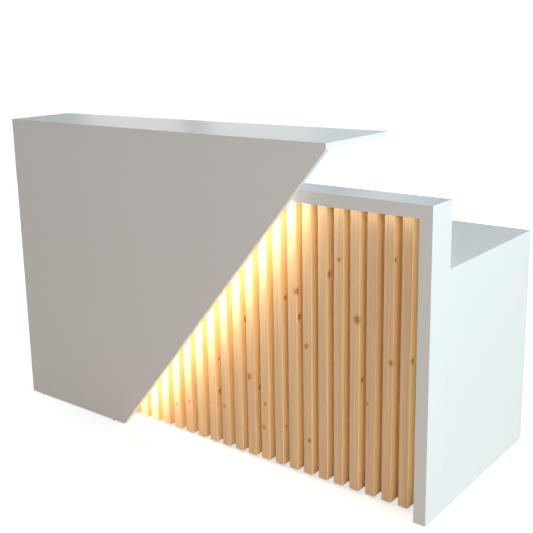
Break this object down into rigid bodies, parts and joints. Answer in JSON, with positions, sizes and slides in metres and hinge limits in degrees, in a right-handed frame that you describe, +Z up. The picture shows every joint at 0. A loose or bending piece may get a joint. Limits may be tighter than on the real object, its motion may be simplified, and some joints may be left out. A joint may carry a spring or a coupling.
{
  "type": "checkout counter",
  "caption": "White counter with a slanted feature panel, high transaction shelf and backlit pine slats in a portal frame, and a desk with cupboard, knee space and drawers behind.",
  "frame": {"origin": "on the floor under the middle of the counter", "axes": "+X to the right as a customer sees it, -Y faces the customer, +Y faces the operator, +Z up"},
  "size_m": [1.75, 0.74, 1.1],
  "materials": {
    "white_laminate": "white melamine on chipboard, satin, with matching edging",
    "drawer_board": "pale grey melamine on chipboard, matt",
    "pine": "planed knotty pine, clear matt lacquer",
    "beech": "plain beech",
    "satin_steel": "satin nickel",
    "zinc_steel": "bright zinc plate",
    "lock_metal": "nickel plate",
    "aluminium": "anodised, satin",
    "led_strip": "phosphor yellow chips on a white strip",
    "opal_diffuser": "opal, lit warm white",
    "white_plastic": "moulded, fine texture",
    "dark_plastic": "moulded, fine texture",
    "grey_plastic": "moulded, fine texture"
  },
  "bodies": {
    "counter": {"front_panel": "white_laminate", "top_shelf": "white_laminate", "riser_board": "white_laminate", "riser_ribs": "white_laminate", "panel_packers": "white_laminate", "portal_rail": "white_laminate", "portal_post_left": "white_laminate", "portal_post_right": "white_laminate", "slat_backing": "white_laminate", "slats_1": "pine", "slats_2": "pine", "slats_3": "pine", "slats_4": "pine", "side_panel_left": "white_laminate", "side_panel_right": "white_laminate", "worktop": "white_laminate", "dividers": "white_laminate", "bottom_boards": "white_laminate", "plinths": "white_laminate", "cupboard_shelf": "white_laminate", "shelf_pins": "zinc_steel", "hinges_fixed": "zinc_steel", "door_catch": "white_plastic", "runners_fixed": "zinc_steel", "lock_keeper": "zinc_steel", "led_profile": "aluminium", "led_strip": "led_strip", "led_diffuser": "opal_diffuser", "led_end_caps": "aluminium", "led_driver": "white_plastic", "led_lead": "white_plastic", "lead_clips": "white_plastic", "grommet_ring": "grey_plastic", "dowels": "beech", "slat_screws": "zinc_steel", "angle_brackets": "zinc_steel", "bracket_screws": "zinc_steel", "glides": "dark_plastic"},
    "cupboard_door": {"cupboard_door": "white_laminate", "door_handle": "satin_steel", "hinges_door": "zinc_steel"},
    "drawer_top": {"drawer_top_front": "white_laminate", "drawer_top_box": "drawer_board", "drawer_top_handle": "satin_steel", "drawer_top_members": "zinc_steel", "lock_body": "lock_metal"},
    "drawer_middle": {"drawer_mid_front": "white_laminate", "drawer_mid_box": "drawer_board", "drawer_mid_handle": "satin_steel", "drawer_mid_members": "zinc_steel"},
    "drawer_bottom": {"drawer_low_front": "white_laminate", "drawer_low_box": "drawer_board", "drawer_low_handle": "satin_steel", "drawer_low_members": "zinc_steel"},
    "runner_top": {"runner_top_middle": "zinc_steel"},
    "runner_middle": {"runner_mid_middle": "zinc_steel"},
    "runner_bottom": {"runner_low_middle": "zinc_steel"},
    "lock": {"lock_plug": "lock_metal"},
    "rocker": {"driver_rocker": "dark_plastic"},
    "grommet_flap": {"grommet_flap": "grey_plastic"}
  },
  "joints": [
    {"name": "drawer_top_slide", "type": "slide", "parent": "counter", "child": "drawer_top", "axis": [0, 1, 0], "range_m": [0, 0.4]},
    {"name": "runner_top_slide", "type": "slide", "parent": "counter", "child": "runner_top", "axis": [0, 1, 0], "range_m": [0, 0.2]},
    {"name": "drawer_middle_slide", "type": "slide", "parent": "counter", "child": "drawer_middle", "axis": [0, 1, 0], "range_m": [0, 0.4]},
    {"name": "runner_middle_slide", "type": "slide", "parent": "counter", "child": "runner_middle", "axis": [0, 1, 0], "range_m": [0, 0.2]},
    {"name": "drawer_bottom_slide", "type": "slide", "parent": "counter", "child": "drawer_bottom", "axis": [0, 1, 0], "range_m": [0, 0.4]},
    {"name": "runner_bottom_slide", "type": "slide", "parent": "counter", "child": "runner_bottom", "axis": [0, 1, 0], "range_m": [0, 0.2]},
    {"name": "lock_turn", "type": "hinge", "parent": "drawer_top", "child": "lock", "pos_m": [0.805, 0.316, 0.7], "axis": [0, 1, 0], "range_deg": [0, 90]},
    {"name": "door_swing", "type": "hinge", "parent": "counter", "child": "cupboard_door", "pos_m": [-0.851, 0.339, 0.405], "axis": [0, 0, 1], "range_deg": [0, 100]},
    {"name": "rocker_tilt", "type": "hinge", "parent": "counter", "child": "rocker", "pos_m": [-0.3, -0.186, 0.628], "axis": [0, 0, 1], "range_deg": [0, 16]},
    {"name": "flap_lift", "type": "hinge", "parent": "counter", "child": "grommet_flap", "pos_m": [-0.175, -0.181, 0.7515], "axis": [1, 0, 0], "range_deg": [0, 95]}
  ],
  "couplings": [
    {"joint": "runner_top_slide", "follows": "drawer_top_slide", "ratio": 0.5},
    {"joint": "runner_middle_slide", "follows": "drawer_middle_slide", "ratio": 0.5},
    {"joint": "runner_bottom_slide", "follows": "drawer_bottom_slide", "ratio": 0.5}
  ]
}
